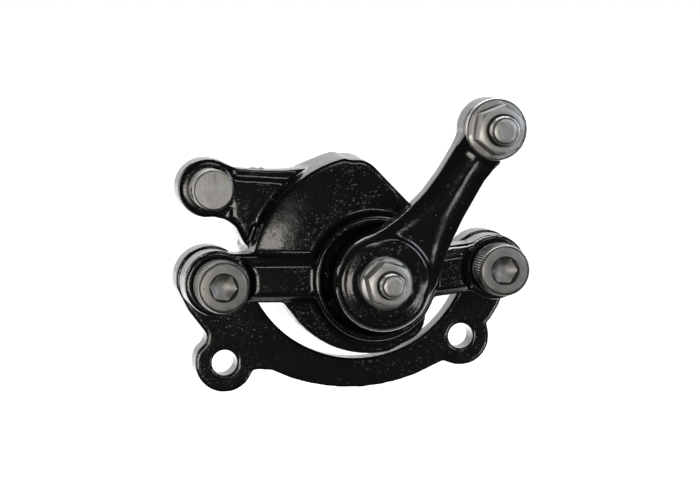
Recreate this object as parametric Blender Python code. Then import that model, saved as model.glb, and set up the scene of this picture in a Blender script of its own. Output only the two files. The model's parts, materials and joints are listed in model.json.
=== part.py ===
"""Cable-operated floating disc brake caliper with its mounting bracket.

Metres, +Z up.  The front of the caliper, its lever side, faces -Y.  The brake disc runs in the
XZ plane just behind the mounting bracket, whose back face is the plane Y = 0.  The origin is the
middle of that face's web; the two guide screws lie on one level line, the ear line, above it.
"""
import math

import bmesh
import bpy
from mathutils import Matrix, Vector

# ---- clearances ---------------------------------------------------------------------------------
GAP = 0.0003                # between faces that touch or are pressed or screwed together
MERGE = 0.00001             # vertices of a new shape closer than this are one
FINE_MERGE = 0.0000002      # the same after a boolean, whose cuts can run close together

# ---- plan of the caliper, X and Z of its centres ------------------------------------------------
EAR_LINE = 0.026            # height of the guide screws above the origin
EAR_HALF_SPACING = 0.035
PIVOT = (0.004, EAR_LINE - 0.0008)
STOP_PIN = (-0.0352, EAR_LINE + 0.0232)
LEVER_ANGLE = math.radians(51.4)
LEVER_LENGTH = 0.0460
CLAMP = (PIVOT[0] + LEVER_LENGTH * math.cos(LEVER_ANGLE),
         PIVOT[1] + LEVER_LENGTH * math.sin(LEVER_ANGLE))
EAR_LEFT = (-EAR_HALF_SPACING, EAR_LINE)
EAR_RIGHT = (EAR_HALF_SPACING, EAR_LINE)

# ---- brake disc the caliper is made for ---------------------------------------------------------
DISC_RADIUS = 0.060
DISC_DIRECTION = math.radians(-48.7)
DISC_CENTRE_DISTANCE = 0.0475
DISC_CENTRE = (PIVOT[0] + DISC_CENTRE_DISTANCE * math.cos(DISC_DIRECTION),
               PIVOT[1] + DISC_CENTRE_DISTANCE * math.sin(DISC_DIRECTION))
DISC_RIM_CLEARANCE = 0.002

# ---- mounting bracket ---------------------------------------------------------------------------
BRACKET_THICKNESS = 0.008
BRACKET_EAR_RADIUS = 0.0086
LUG_LEFT = (-0.0323, EAR_LINE - 0.0210)
LUG_RIGHT = (0.0283, EAR_LINE - 0.0181)
LUG_RADIUS = 0.0074
LUG_HOLE_RADIUS = 0.0032
WEB_INNER_CENTRE = (0.0027, EAR_LINE + 0.0069)
WEB_INNER_RADIUS = 0.0290
WEB_OUTER_CENTRE = (0.0019, EAR_LINE + 0.0173)
WEB_OUTER_RADIUS = 0.0467

# ---- guide screws, M8 with a 13 mm head ---------------------------------------------------------
SCREW_RADIUS = 0.004
SCREW_BORE_RADIUS = 0.0043
SCREW_HEAD_RADIUS = 0.0065
SCREW_HEAD_HEIGHT = 0.008
SCREW_KEY_SIZE = 0.006      # across the flats of the hexagon socket
SCREW_KEY_DEPTH = 0.004
SLEEVE_RADIUS = 0.0055
SLEEVE_LENGTH = 0.0123
GUIDE_WASHER_RADIUS = 0.0062
GUIDE_WASHER_THICKNESS = 0.0008

# ---- front housing, levels along Y --------------------------------------------------------------
HOUSING_BACK = -0.0025
ARM_BACK = -0.0040
ARM_FRONT = -0.0122
DOME_FRONT = -0.0190
RIB_FRONT = -0.0222
RIB_BACK = -0.0092
RING_FRONT = -0.0230
EAR_BACK = -0.0090
EAR_FRONT = -0.0200
STOP_BOSS_FRONT = -0.0130
EAR_RADIUS = 0.0081
EAR_FACE_RADIUS = 0.0087
EAR_BORE_RADIUS = 0.0058
BELLY_CENTRE = (0.0038, EAR_LINE + 0.0042)
BELLY_RADIUS = 0.0250
CHEEK_CENTRE = (0.0042, EAR_LINE - 0.0002)
CHEEK_RADIUS = 0.0201
LOW_CORNER_CENTRE = (0.0105, EAR_LINE - 0.0112)
LOW_CORNER_RADIUS = 0.0073
HIGH_CORNER_CENTRE = (0.0128, EAR_LINE + 0.0124)
HIGH_CORNER_RADIUS = 0.0052
DOME_RADIUS = 0.0315        # about the pivot
APEX_CENTRE = (0.0008, EAR_LINE + 0.0226)
APEX_RADIUS = 0.0070
HEEL_CENTRE = (-0.0228, EAR_LINE + 0.0036)
HEEL_RADIUS = 0.0030
STOP_BOSS_RADIUS = 0.0074
RING_BASE_RADIUS = 0.0163
RING_TOP_RADIUS = 0.0153
RING_BACK_RADIUS = 0.0167
RIB_HALF_HEIGHT = 0.0037
RIB_TOP_SLOPE = 0.0027
RIB_UNDER_SLOPE = 0.0020
RIB_SLOPE_DEPTH = 0.0032
RIB_LEFT_RISE = (0.0009, -0.0011)    # middle of the rib above the ear line, at ear and ring
RIB_RIGHT_RISE = (0.0004, -0.0020)
DOME_DRAFT = 0.0011

# ---- inside the front housing -------------------------------------------------------------------
SPRING_WELL_RADIUS = 0.0136
SPRING_WELL_FLOOR = -0.0186
SHAFT_BORE_RADIUS = 0.0053
SEAL_GROOVE_RADIUS = 0.0068
SEAL_GROOVE_WIDTH = 0.0018
CHAMBER_RADIUS = 0.0125
CHAMBER_FRONT = -0.0156
THRUST_WASHER_THICKNESS = 0.0010
CAM_FLANGE_RADIUS = 0.0105
CAM_FLANGE_THICKNESS = 0.0025
SHAFT_RADIUS = 0.0050
BALL_RADIUS = 0.0020
BALL_COUNT = 3
BALL_CIRCLE = 0.0072
BALL_LEVEL = -0.0103
BALL_GROOVE_RADIUS = 0.0023
CAGE_THICKNESS = 0.0012
CAGE_OUTER_RADIUS = 0.0102
CAGE_INNER_RADIUS = 0.0042
PISTON_FRONT = -0.0090
PISTON_BACK = -0.0046
PISTON_RADIUS = 0.0122
PISTON_SEAL_RADIUS = 0.0007
KEY_RADIUS = 0.0010
KEY_DEGREES = 205.0

# ---- pads ---------------------------------------------------------------------------------------
PAD_RADIUS = 0.0120
LINING_RADIUS = 0.0112
PAD_PLATE_THICKNESS = 0.0015
LINING_THICKNESS = 0.0030
MOVING_PAD_FRONT = -0.0043
FIXED_PAD_FRONT = 0.0049

# ---- rear housing -------------------------------------------------------------------------------
REAR_JOINT = HOUSING_BACK + GAP
REAR_SLOT_BACK = 0.0058
REAR_BACK = 0.0160
REAR_PAD_WELL_DEPTH = 0.0048
REAR_SCALE = 0.93
SEAL_GROOVE_FRONT = -0.0066
SEAL_GROOVE_BACK = -0.0050
SEAL_MIDDLE = -0.0058
KEY_FRONT = -0.0107
KEY_BACK = -0.0029
KEY_RELIEF_REACH = 0.0020
BODY_SCREW_RADIUS = 0.003
BODY_SCREW_HEAD_RADIUS = 0.005
BODY_SCREW_HEAD_HEIGHT = 0.006
BODY_SCREW_KEY_SIZE = 0.005
BODY_SCREW_KEY_DEPTH = 0.003
BODY_SCREW_TIP = -0.0120
BODY_SCREW_HOLE_END = -0.0140
BODY_SCREW_DISTANCE = 0.0226   # from the pivot, outside the brake disc's rim
BODY_SCREW_SPREAD = math.radians(31.0)
ADJUSTER_RADIUS = 0.004
ADJUSTER_TIP = 0.0218
ADJUSTER_KEY_SIZE = 0.004
ADJUSTER_KEY_DEPTH = 0.003
LOCKNUT_FLATS = 0.013
LOCKNUT_THICKNESS = 0.004

# ---- lever and its fasteners --------------------------------------------------------------------
LEVER_BACK = -0.0236
LEVER_ARM_BACK = -0.0250
LEVER_FRONT = -0.0340
HUB_RADIUS = 0.0122
LEVER_BOSS_RADIUS = 0.0077
STUD_RADIUS = 0.003
STUD_TIP = -0.0436
PIVOT_NUT_FLATS = 0.010
PIVOT_NUT_FLANGE_RADIUS = 0.0066
PIVOT_NUT_FLANGE_THICKNESS = 0.0012
PIVOT_NUT_HEIGHT = 0.006
CLAMP_RADIUS = 0.0035
CLAMP_TIP = -0.0450
CLAMP_NUT_FLATS = 0.012
CLAMP_NUT_FLANGE_RADIUS = 0.0076
CLAMP_NUT_FLANGE_THICKNESS = 0.0015
CLAMP_NUT_HEIGHT = 0.0075
CLAMP_HEAD_FLATS = 0.010
CLAMP_HEAD_HEIGHT = 0.0045
CLAMP_WASHER_RADIUS = 0.0068
CLAMP_WASHER_THICKNESS = 0.0012
CABLE_HOLE_RADIUS = 0.0010

# ---- cable stop ---------------------------------------------------------------------------------
STOP_PIN_RADIUS = 0.005
STOP_PIN_FRONT = -0.0220
STOP_SHANK_RADIUS = 0.0032
STOP_SHANK_BORE_RADIUS = 0.0035
STOP_SHANK_BACK = -0.0015
STOP_CABLE_HOLE_RADIUS = 0.0017
STOP_GROOVE_RADIUS = 0.0024
CLIP_THICKNESS = 0.0008
CLIP_RADIUS = 0.0048

# ---- return spring ------------------------------------------------------------------------------
SPRING_WIRE_RADIUS = 0.0008
SPRING_COIL_RADIUS = 0.0112
SPRING_TURNS = 1.75
SPRING_BACK = -0.0197
SPRING_FRONT = -0.0224
SPRING_BACK_DEGREES = 200.0
SPRING_FRONT_DEGREES = 200.0 + 360.0 * SPRING_TURNS

OVERCUT = 0.001              # how far a cutter runs past the wall it cuts
STUD_CHAMFER = 0.0006
ARC_STEP = math.radians(6)
ROUND_SEGMENTS = 32
SMALL_SEGMENTS = 20


# ---- outlines and points ------------------------------------------------------------------------
def around(centre, radius, degrees):
    """The point at an angle and a distance from a centre, in the XZ plane."""
    angle = math.radians(degrees)
    return (centre[0] + radius * math.cos(angle), centre[1] + radius * math.sin(angle))


def arc(centre, radius, start, end):
    """Points along an arc, anticlockwise when end is larger than start; degrees."""
    steps = max(2, math.ceil(abs(math.radians(end - start)) / ARC_STEP))
    return [around(centre, radius, start + (end - start) * i / steps) for i in range(steps + 1)]


def scaled_about(points, centre, factor):
    return [(centre[0] + (x - centre[0]) * factor, centre[1] + (z - centre[1]) * factor)
            for x, z in points]


# ---- scene bookkeeping --------------------------------------------------------------------------
def clear_scene():
    for obj in list(bpy.data.objects):
        bpy.data.objects.remove(obj, do_unlink=True)


def new_collection(name):
    collection = bpy.data.collections.new(name)
    bpy.context.scene.collection.children.link(collection)
    return collection


def make_material(name, colour, roughness, metallic):
    material = bpy.data.materials.new(name)
    material.use_nodes = True
    shader = material.node_tree.nodes["Principled BSDF"]
    shader.inputs["Base Color"].default_value = (*colour, 1.0)
    shader.inputs["Roughness"].default_value = roughness
    shader.inputs["Metallic"].default_value = metallic
    material.diffuse_color = (*colour, 1.0)
    return material


FINISHES = {
    "gloss_black": ((0.012, 0.012, 0.013), 0.22, 0.0),
    "zinc": ((0.62, 0.62, 0.60), 0.32, 1.0),
    "satin_steel": ((0.42, 0.42, 0.40), 0.42, 1.0),
    "bright_steel": ((0.70, 0.70, 0.70), 0.18, 1.0),
    "friction": ((0.10, 0.075, 0.06), 0.92, 0.0),
    "rubber": ((0.02, 0.02, 0.02), 0.75, 0.0),
}


# ---- solids -------------------------------------------------------------------------------------
def mesh_object(name, bm, collection):
    """Turns a bmesh into an object whose faces point out."""
    bmesh.ops.remove_doubles(bm, verts=bm.verts, dist=MERGE)
    bmesh.ops.recalc_face_normals(bm, faces=bm.faces)
    mesh = bpy.data.meshes.new(name)
    bm.to_mesh(mesh)
    bm.free()
    obj = bpy.data.objects.new(name, mesh)
    collection.objects.link(obj)
    return obj


def plate(name, outline, front, back, collection, draft=0.0, draft_centre=None):
    """A flat outline in XZ, extruded from Y = front to Y = back; the front may be drafted in."""
    curve = bpy.data.curves.new(name, "CURVE")
    curve.dimensions = "2D"
    curve.fill_mode = "BOTH"
    curve.extrude = (back - front) / 2
    spline = curve.splines.new("POLY")
    spline.points.add(len(outline) - 1)
    for point, (x, z) in zip(spline.points, outline):
        point.co = (x, z, 0.0, 1.0)
    spline.use_cyclic_u = True
    source = bpy.data.objects.new(name + "_outline", curve)
    collection.objects.link(source)
    bpy.context.view_layer.update()
    evaluated = source.evaluated_get(bpy.context.evaluated_depsgraph_get())
    mesh = bpy.data.meshes.new_from_object(evaluated)
    bpy.data.objects.remove(source, do_unlink=True)
    bpy.data.curves.remove(curve)
    bm = bmesh.new()
    bm.from_mesh(mesh)
    bpy.data.meshes.remove(mesh)
    stand_up = Matrix.Translation((0, (front + back) / 2, 0)) @ Matrix.Rotation(math.pi / 2, 4, "X")
    bmesh.ops.transform(bm, matrix=stand_up, verts=bm.verts)
    if draft:
        middle = Vector((draft_centre[0], 0, draft_centre[1]))
        for vert in bm.verts:
            if vert.co.y < (front + back) / 2:
                inward = middle - Vector((vert.co.x, 0, vert.co.z))
                vert.co += inward.normalized() * draft
    return mesh_object(name, bm, collection)


def turned(name, profile, centre, collection, segments=ROUND_SEGMENTS):
    """A solid turned about the Y axis through centre; profile lists (radius, y), front to back."""
    bm = bmesh.new()
    verts = [bm.verts.new((radius, y, 0.0)) for radius, y in profile]
    for first, second in zip(verts, verts[1:]):
        bm.edges.new((first, second))
    if profile[0][0] > 0 and profile[-1][0] > 0:
        bm.edges.new((verts[-1], verts[0]))
    bmesh.ops.spin(bm, geom=bm.verts[:] + bm.edges[:], cent=(0, 0, 0), axis=(0, 1, 0),
                   angle=math.tau, steps=segments, use_merge=True, use_duplicate=False)
    bmesh.ops.translate(bm, vec=(centre[0], 0, centre[1]), verts=bm.verts)
    return mesh_object(name, bm, collection)


def rod(name, radius, front, back, centre, collection, segments=ROUND_SEGMENTS):
    """A plain cylinder along Y."""
    return turned(name, [(0, front), (radius, front), (radius, back), (0, back)], centre,
                  collection, segments)


def ring(name, inner, outer, front, back, centre, collection, segments=ROUND_SEGMENTS):
    """A plain washer or tube along Y."""
    profile = [(inner, front), (outer, front), (outer, back), (inner, back)]
    return turned(name, profile, centre, collection, segments)


def hexagon_rod(name, flats, front, back, centre, collection, turn=0.0):
    """A hexagon bar along Y, given by its width across the flats."""
    corners = [around(centre, flats / math.sqrt(3), turn + 60 * i) for i in range(6)]
    return plate(name, corners, front, back, collection)


def cross_rod(name, radius, start, end, collection, segments=SMALL_SEGMENTS):
    """A cylinder between two points given as (x, y, z)."""
    start, end = Vector(start), Vector(end)
    bm = bmesh.new()
    bmesh.ops.create_cone(bm, cap_ends=True, segments=segments, radius1=radius, radius2=radius,
                          depth=(end - start).length)
    turn = (end - start).to_track_quat("Z", "Y").to_matrix().to_4x4()
    bmesh.ops.transform(bm, matrix=Matrix.Translation((start + end) / 2) @ turn, verts=bm.verts)
    return mesh_object(name, bm, collection)


def block(name, low, high, collection):
    """A box between two corners."""
    low, high = Vector(low), Vector(high)
    size = high - low
    bm = bmesh.new()
    bmesh.ops.create_cube(bm, size=1.0)
    bmesh.ops.scale(bm, vec=size, verts=bm.verts)
    bmesh.ops.translate(bm, vec=(low + high) / 2, verts=bm.verts)
    return mesh_object(name, bm, collection)


def combine(target, others, operation, solver="EXACT"):
    """Joins or cuts with booleans, applied at once; the other objects are removed."""
    for other in others:
        modifier = target.modifiers.new("shape", "BOOLEAN")
        modifier.operation = operation
        modifier.solver = solver
        modifier.object = other
        bpy.context.view_layer.update()
        evaluated = target.evaluated_get(bpy.context.evaluated_depsgraph_get())
        mesh = bpy.data.meshes.new_from_object(evaluated)
        target.modifiers.clear()
        old = target.data
        target.data = mesh
        bpy.data.meshes.remove(old)
        bpy.data.objects.remove(other, do_unlink=True)
    bm = bmesh.new()
    bm.from_mesh(target.data)
    bmesh.ops.remove_doubles(bm, verts=bm.verts, dist=FINE_MERGE)
    bm.to_mesh(target.data)
    bm.free()
    return target


def join(target, *others, solver="EXACT"):
    return combine(target, others, "UNION", solver)


def cut(target, *others, solver="EXACT"):
    return combine(target, others, "DIFFERENCE", solver)


def finish(obj, material, pivot=None, smooth=32):
    """Gives a piece its material, its shading and, for a moving piece, an origin on its axis."""
    obj.data.materials.clear()
    obj.data.materials.append(material)
    obj.data.shade_smooth()
    obj.data.set_sharp_from_angle(angle=math.radians(smooth))
    if pivot:
        offset = Vector((pivot[0], 0.0, pivot[1]))
        obj.data.transform(Matrix.Translation(-offset))
        obj.location = offset
    return obj


# ---- mounting bracket and guide screws ----------------------------------------------------------
def make_bracket(parts, cutters, finishes):
    left_corner = [(LUG_LEFT[0] + 0.0074, LUG_LEFT[1] - 0.0023),
                   (LUG_LEFT[0] + 0.0116, LUG_LEFT[1] - 0.0026)]
    right_corner = [(LUG_RIGHT[0] - 0.0048, LUG_RIGHT[1] - 0.0060)]
    right_neck = [(LUG_RIGHT[0] + 0.0083, LUG_RIGHT[1] + 0.0043),
                  (LUG_RIGHT[0] + 0.0103, LUG_RIGHT[1] + 0.0073)]
    left_neck = (LUG_LEFT[0] - 0.0068, LUG_LEFT[1] + 0.0067)
    outline = (arc(EAR_LEFT, BRACKET_EAR_RADIUS, -20, 190)
               + [(LUG_LEFT[0] - 0.0085, LUG_LEFT[1] + 0.0136)]
               + arc(left_neck, 0.0026, 40, -40)
               + arc(LUG_LEFT, LUG_RADIUS, 150, 338)
               + left_corner
               + arc(WEB_OUTER_CENTRE, WEB_OUTER_RADIUS, 247.8, 287.5)
               + right_corner
               + arc(LUG_RIGHT, LUG_RADIUS, 244, 382)
               + right_neck
               + arc(EAR_RIGHT, BRACKET_EAR_RADIUS, -52, 200)
               + arc(WEB_INNER_CENTRE, WEB_INNER_RADIUS, -24, -156))
    bracket = plate("mounting_bracket", outline, -BRACKET_THICKNESS, 0.0, parts)
    margin = 0.001
    holes = [rod("lug_hole", LUG_HOLE_RADIUS, -BRACKET_THICKNESS - margin, margin, lug, cutters,
                 SMALL_SEGMENTS) for lug in (LUG_LEFT, LUG_RIGHT)]
    holes += [rod("screw_hole", SCREW_BORE_RADIUS, -BRACKET_THICKNESS - margin, margin, ear, cutters)
              for ear in (EAR_LEFT, EAR_RIGHT)]
    finish(cut(bracket, *holes), finishes["gloss_black"])


def socket_screw(name, centre, head_front, head_height, head_radius, shank_radius, tip, key_size,
                 key_depth, parts, cutters, facing=-1):
    """A cap screw along Y whose head faces -Y, or +Y when facing is 1."""
    chamfer = head_radius * 0.09
    seat = head_front - facing * head_height
    profile = [(0, head_front), (head_radius - chamfer, head_front),
               (head_radius, head_front - facing * chamfer), (head_radius, seat),
               (shank_radius, seat), (shank_radius, tip + facing * chamfer),
               (shank_radius - chamfer, tip), (0, tip)]
    screw = turned(name, profile, centre, parts)
    ends = sorted((head_front + facing * key_depth, head_front - facing * key_depth))
    return cut(screw, hexagon_rod("key_cutter", key_size, ends[0], ends[1], centre, cutters, 20))


def make_guides(parts, cutters, finishes):
    for side, ear in (("left", EAR_LEFT), ("right", EAR_RIGHT)):
        sleeve_back = -BRACKET_THICKNESS - GAP
        sleeve_front = sleeve_back - SLEEVE_LENGTH
        sleeve = ring("guide_sleeve_" + side, SCREW_BORE_RADIUS, SLEEVE_RADIUS, sleeve_front,
                      sleeve_back, ear, parts)
        finish(sleeve, finishes["bright_steel"])
        washer_back = sleeve_front - GAP
        washer_front = washer_back - GUIDE_WASHER_THICKNESS
        washer = ring("guide_washer_" + side, SCREW_BORE_RADIUS, GUIDE_WASHER_RADIUS,
                      washer_front, washer_back, ear, parts)
        finish(washer, finishes["satin_steel"])
        head_front = washer_front - GAP - SCREW_HEAD_HEIGHT
        screw = socket_screw("guide_screw_" + side, ear, head_front, SCREW_HEAD_HEIGHT,
                             SCREW_HEAD_RADIUS, SCREW_RADIUS, -0.0006, SCREW_KEY_SIZE,
                             SCREW_KEY_DEPTH, parts, cutters)
        finish(screw, finishes["satin_steel"])


# ---- housings -----------------------------------------------------------------------------------
def body_outline(right_side):
    """A slab along the disc's direction, its flanks straight and its upper left end domed."""
    flank = math.degrees(DISC_DIRECTION)
    return (arc(BELLY_CENTRE, BELLY_RADIUS, flank - 90, -82)
            + right_side
            + arc(APEX_CENTRE, APEX_RADIUS, flank + 88, 97)
            + arc(PIVOT, DOME_RADIUS, 101, 166)
            + arc(HEEL_CENTRE, HEEL_RADIUS, 172, flank + 270))


def cornered_side():
    """The front housing's right side, which stands inside the drum."""
    flank = math.degrees(DISC_DIRECTION)
    return (arc(LOW_CORNER_CENTRE, LOW_CORNER_RADIUS, -58, 0)
            + arc(HIGH_CORNER_CENTRE, HIGH_CORNER_RADIUS, 4, flank + 87))


def round_side():
    """The rear housing's right side, which is round about the pads."""
    return arc(CHEEK_CENTRE, CHEEK_RADIUS, -78, math.degrees(DISC_DIRECTION) + 84)


def arm_outline():
    """The arm that carries the cable stop, from its boss to the dome."""
    x, z = STOP_PIN
    top = [(x + 0.0070, z + 0.0046), (x + 0.0125, z + 0.0038), (x + 0.0199, z + 0.0034),
           (x + 0.0240, z + 0.0037), (x + 0.0276, z + 0.0041)]
    under = [(x + 0.0042, z - 0.0082), (x + 0.0066, z - 0.0101), (x + 0.0077, z - 0.0126),
             (x + 0.0088, z - 0.0148)]
    inside = [(x + 0.0250, z - 0.0150), (x + 0.0340, z - 0.0060)]
    return arc(STOP_PIN, STOP_BOSS_RADIUS, 52, 278) + under + inside + top[::-1]


def make_rib(name, start, end, rises, parts):
    """A rib between two X places, its top and underside sloped outwards from its front face."""
    half = RIB_HALF_HEIGHT
    shoulder = RIB_FRONT + RIB_SLOPE_DEPTH
    section = [(RIB_FRONT, half), (shoulder, half + RIB_TOP_SLOPE), (RIB_BACK, half + RIB_TOP_SLOPE),
               (RIB_BACK, -half - RIB_UNDER_SLOPE), (shoulder, -half - RIB_UNDER_SLOPE),
               (RIB_FRONT, -half)]
    bm = bmesh.new()
    verts = [bm.verts.new((start, y, EAR_LINE + rises[0] + z)) for y, z in section]
    face = bm.faces.new(verts)
    pushed = bmesh.ops.extrude_face_region(bm, geom=[face])
    moved = [item for item in pushed["geom"] if isinstance(item, bmesh.types.BMVert)]
    bmesh.ops.translate(bm, vec=(end - start, 0, rises[1] - rises[0]), verts=moved)
    return mesh_object(name, bm, parts)


def make_ribs(parts):
    inset = 0.001
    return [make_rib("rib_left", EAR_LEFT[0], PIVOT[0] - inset, RIB_LEFT_RISE, parts),
            make_rib("rib_right", EAR_RIGHT[0], PIVOT[0] + inset, RIB_RIGHT_RISE, parts)]


def body_screw_places():
    outward = math.degrees(DISC_DIRECTION) + 180
    spread = math.degrees(BODY_SCREW_SPREAD)
    return [around(PIVOT, BODY_SCREW_DISTANCE, outward - spread),
            around(PIVOT, BODY_SCREW_DISTANCE, outward + spread)]


def make_front_housing(parts, cutters, finishes):
    housing = plate("front_housing", body_outline(cornered_side()), DOME_FRONT, HOUSING_BACK, parts,
                    DOME_DRAFT, PIVOT)
    arm = plate("arm", arm_outline(), ARM_FRONT, ARM_BACK, parts)
    boss_radius = STOP_BOSS_RADIUS - 0.0003
    boss = turned("stop_boss", [(0, STOP_BOSS_FRONT), (boss_radius - 0.0005, STOP_BOSS_FRONT),
                                (boss_radius, ARM_FRONT), (boss_radius, ARM_FRONT + 0.002),
                                (0, ARM_FRONT + 0.002)], STOP_PIN, parts)
    collar_back = HOUSING_BACK - 0.0004
    collar = turned("ring", [(0, RING_FRONT), (RING_TOP_RADIUS, RING_FRONT),
                             (RING_BASE_RADIUS, DOME_FRONT), (RING_BACK_RADIUS, collar_back),
                             (0, collar_back)], PIVOT, parts, 48)
    ears = [rod("ear", EAR_RADIUS, EAR_FRONT, EAR_BACK, ear, parts) for ear in (EAR_LEFT, EAR_RIGHT)]
    join(housing, arm, boss, collar, *make_ribs(parts), *ears, solver="MANIFOLD")
    pad_well_back = HOUSING_BACK + OVERCUT
    hollow = turned("hollow", [(0, CHAMBER_FRONT), (CHAMBER_RADIUS, CHAMBER_FRONT),
                               (CHAMBER_RADIUS, pad_well_back), (0, pad_well_back)],
                    PIVOT, cutters, 48)
    well = rod("spring_well", SPRING_WELL_RADIUS, RING_FRONT - OVERCUT, SPRING_WELL_FLOOR, PIVOT,
               cutters, 48)
    middle = (SPRING_WELL_FLOOR + CHAMBER_FRONT) / 2
    half = SEAL_GROOVE_WIDTH / 2
    bore = turned("bore", [(0, SPRING_WELL_FLOOR - OVERCUT),
                           (SHAFT_BORE_RADIUS, SPRING_WELL_FLOOR - OVERCUT),
                           (SHAFT_BORE_RADIUS, middle - half), (SEAL_GROOVE_RADIUS, middle - half),
                           (SEAL_GROOVE_RADIUS, middle + half), (SHAFT_BORE_RADIUS, middle + half),
                           (SHAFT_BORE_RADIUS, CHAMBER_FRONT + OVERCUT), (0, CHAMBER_FRONT + OVERCUT)],
                  PIVOT, cutters)
    piston_seal_groove = ring("seal_groove", CHAMBER_RADIUS - 0.0005,
                              CHAMBER_RADIUS + 2 * PISTON_SEAL_RADIUS + GAP,
                              SEAL_GROOVE_FRONT, SEAL_GROOVE_BACK, PIVOT,
                              cutters, 48)
    key_x, key_z = around(PIVOT, CHAMBER_RADIUS, KEY_DEGREES)
    key_slot = rod("key_slot", KEY_RADIUS + GAP, -0.0110, pad_well_back, (key_x, key_z), cutters,
                   SMALL_SEGMENTS)
    ear_bores = [rod("ear_bore", EAR_BORE_RADIUS, RIB_FRONT - 0.002, EAR_BACK + OVERCUT, ear, cutters)
                 for ear in (EAR_LEFT, EAR_RIGHT)]
    ear_faces = [rod("ear_face", EAR_FACE_RADIUS, RIB_FRONT - 0.002, EAR_FRONT, ear, cutters)
                 for ear in (EAR_LEFT, EAR_RIGHT)]
    stop_bore = rod("stop_bore", STOP_SHANK_BORE_RADIUS, STOP_BOSS_FRONT - OVERCUT, ARM_BACK + OVERCUT,
                    STOP_PIN, cutters, SMALL_SEGMENTS)
    screw_bores = [rod("screw_bore", BODY_SCREW_RADIUS + GAP, BODY_SCREW_HOLE_END, pad_well_back,
                       place, cutters, SMALL_SEGMENTS) for place in body_screw_places()]
    spring_hole = rod("spring_hole", SPRING_WIRE_RADIUS + GAP, SPRING_WELL_FLOOR - OVERCUT,
                      SPRING_WELL_FLOOR + 0.0016,
                      around(PIVOT, SPRING_COIL_RADIUS, SPRING_BACK_DEGREES),
                      cutters, 12)
    cut(housing, hollow, well, bore, piston_seal_groove, key_slot, *ear_bores, *ear_faces, stop_bore,
        *screw_bores, spring_hole, solver="MANIFOLD")
    finish(housing, finishes["gloss_black"])


def make_rear_housing(parts, cutters, finishes):
    outline = scaled_about(body_outline(round_side()), CHEEK_CENTRE, REAR_SCALE)
    housing = plate("rear_housing", outline, REAR_JOINT, REAR_BACK, parts)
    slot = turned("disc_slot", [(0, REAR_JOINT - OVERCUT),
                                (DISC_RADIUS + DISC_RIM_CLEARANCE, REAR_JOINT - OVERCUT),
                                (DISC_RADIUS + DISC_RIM_CLEARANCE, REAR_SLOT_BACK),
                                (0, REAR_SLOT_BACK)], DISC_CENTRE, cutters, 96)
    pad_well = rod("pad_well", CHAMBER_RADIUS, REAR_SLOT_BACK - OVERCUT,
                   REAR_SLOT_BACK + REAR_PAD_WELL_DEPTH, PIVOT, cutters, 48)
    adjuster_bore = rod("adjuster_bore", ADJUSTER_RADIUS + GAP, REAR_SLOT_BACK, REAR_BACK + OVERCUT,
                        PIVOT, cutters)
    screw_bores = [rod("screw_bore", BODY_SCREW_RADIUS + GAP, REAR_JOINT - OVERCUT, REAR_BACK + OVERCUT,
                       place, cutters, SMALL_SEGMENTS) for place in body_screw_places()]
    cut(housing, slot, pad_well, adjuster_bore, *screw_bores, solver="MANIFOLD")
    finish(housing, finishes["gloss_black"])


def make_body_screws(parts, cutters, finishes):
    head_face = REAR_BACK + GAP + BODY_SCREW_HEAD_HEIGHT
    for side, place in zip(("upper", "lower"), body_screw_places()):
        screw = socket_screw("body_screw_" + side, place, head_face, BODY_SCREW_HEAD_HEIGHT,
                             BODY_SCREW_HEAD_RADIUS, BODY_SCREW_RADIUS, BODY_SCREW_TIP,
                             BODY_SCREW_KEY_SIZE, BODY_SCREW_KEY_DEPTH, parts, cutters, facing=1)
        finish(screw, finishes["zinc"])


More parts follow.
